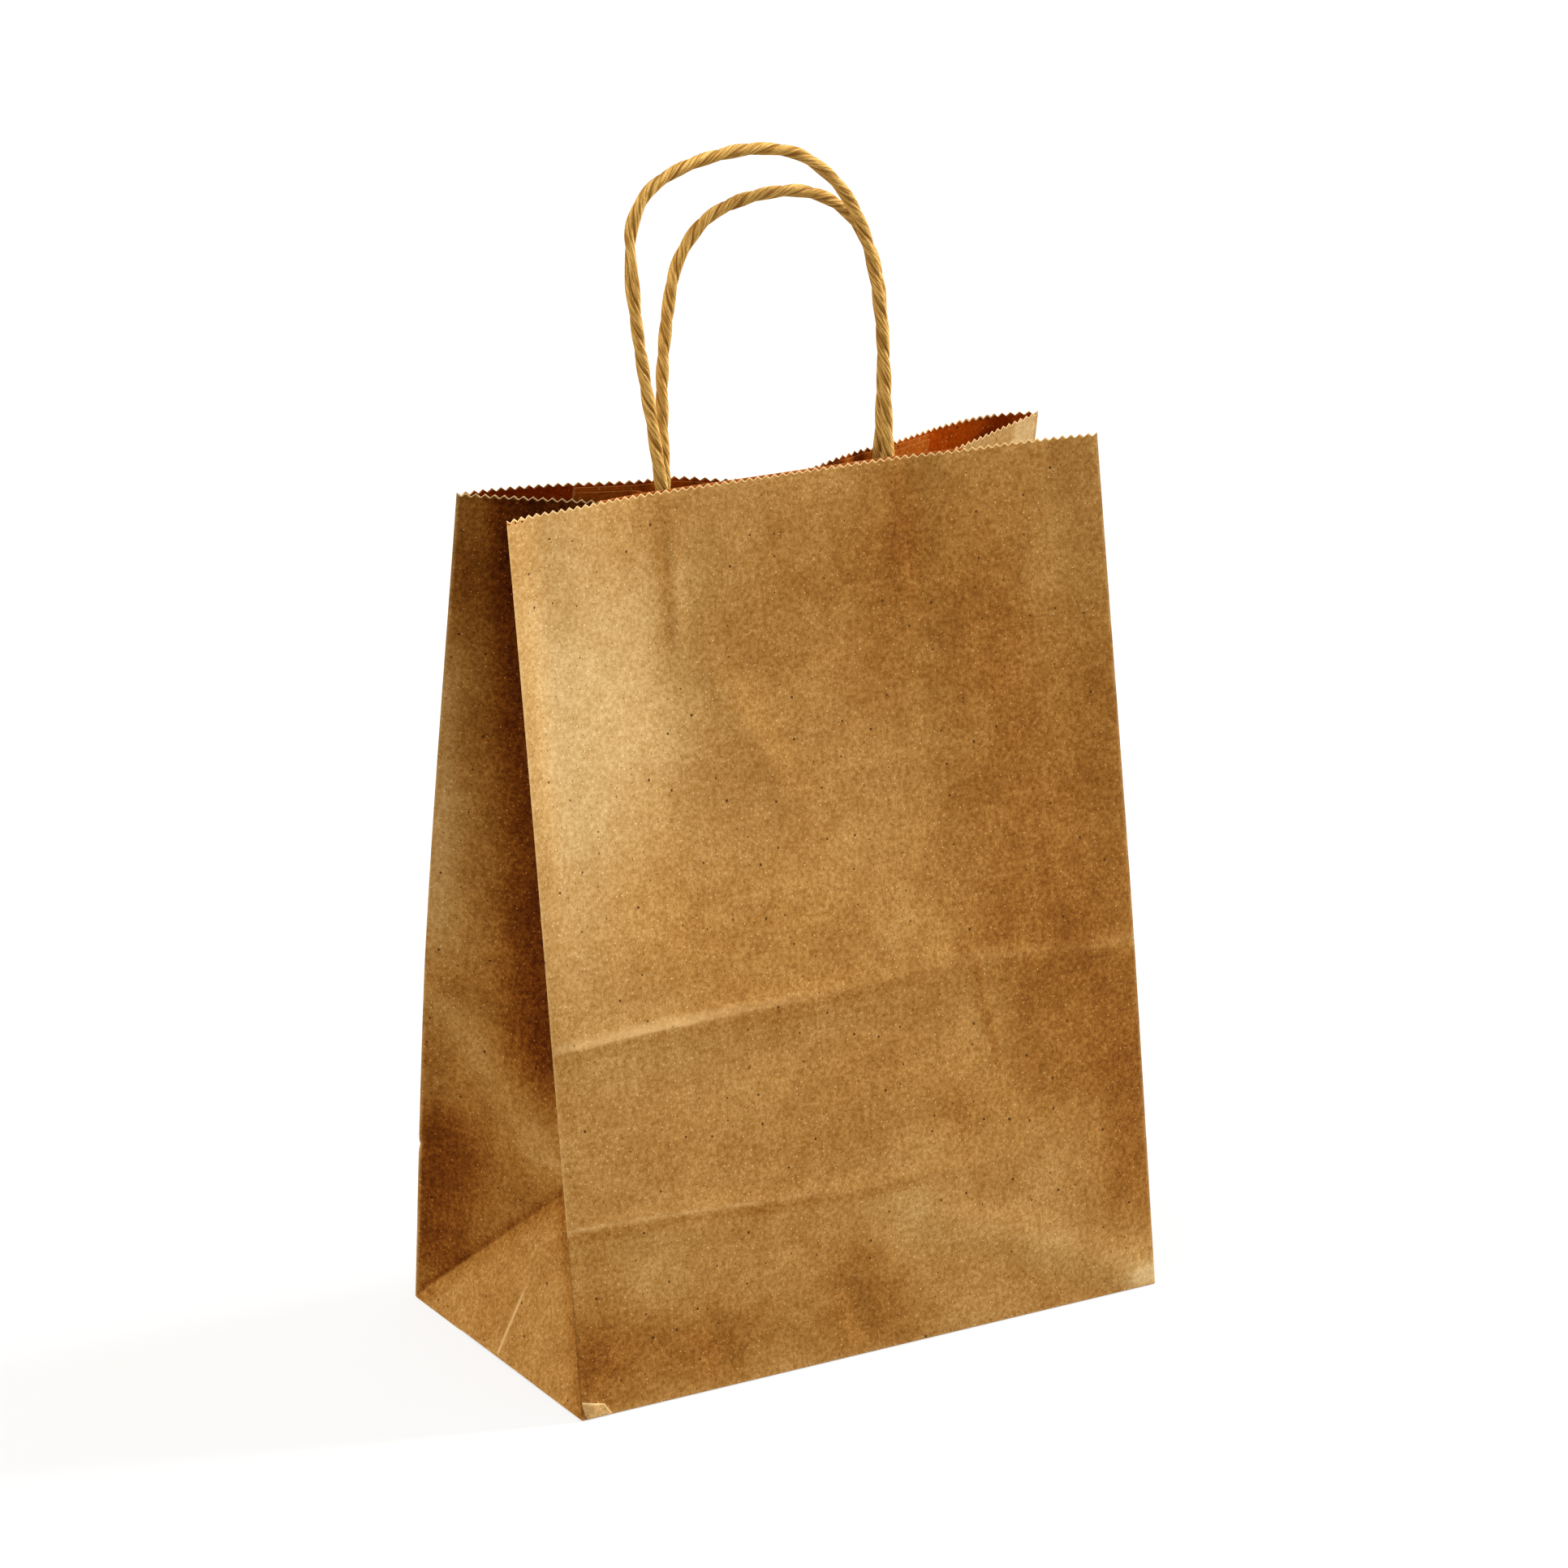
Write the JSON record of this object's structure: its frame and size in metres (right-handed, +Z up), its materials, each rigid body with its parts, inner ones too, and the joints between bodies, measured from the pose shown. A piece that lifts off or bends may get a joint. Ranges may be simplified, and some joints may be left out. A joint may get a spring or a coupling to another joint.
{
  "type": "brown kraft paper carrier bag with twisted paper cord handles",
  "caption": "Open brown kraft paper carrier bag with a zigzag rim, folded-in side gussets, a glued block bottom and twisted paper cord loop handles.",
  "frame": {"origin": "middle of the bag's bottom, on the surface it stands on", "axes": "+Z up, +Y from the front wall to the back wall through the depth, +X along the front wall to the viewer's right"},
  "size_m": [0.2032, 0.1082, 0.3625],
  "materials": {
    "kraft_paper": "uncoated brown kraft paper, faint fibre mottle, matt",
    "paper_cord": "tightly twisted two-ply kraft paper cord, slightly smoothed",
    "kraft_strip": "uncoated stiff kraft strip, matt"
  },
  "bodies": {
    "root": {"bag_body": "kraft_paper", "front_handle": "paper_cord", "rear_handle": "paper_cord", "front_handle_patch": "kraft_strip", "front_handle_backing": "kraft_strip", "rear_handle_patch": "kraft_strip", "rear_handle_backing": "kraft_strip"}
  },
  "joints": []
}
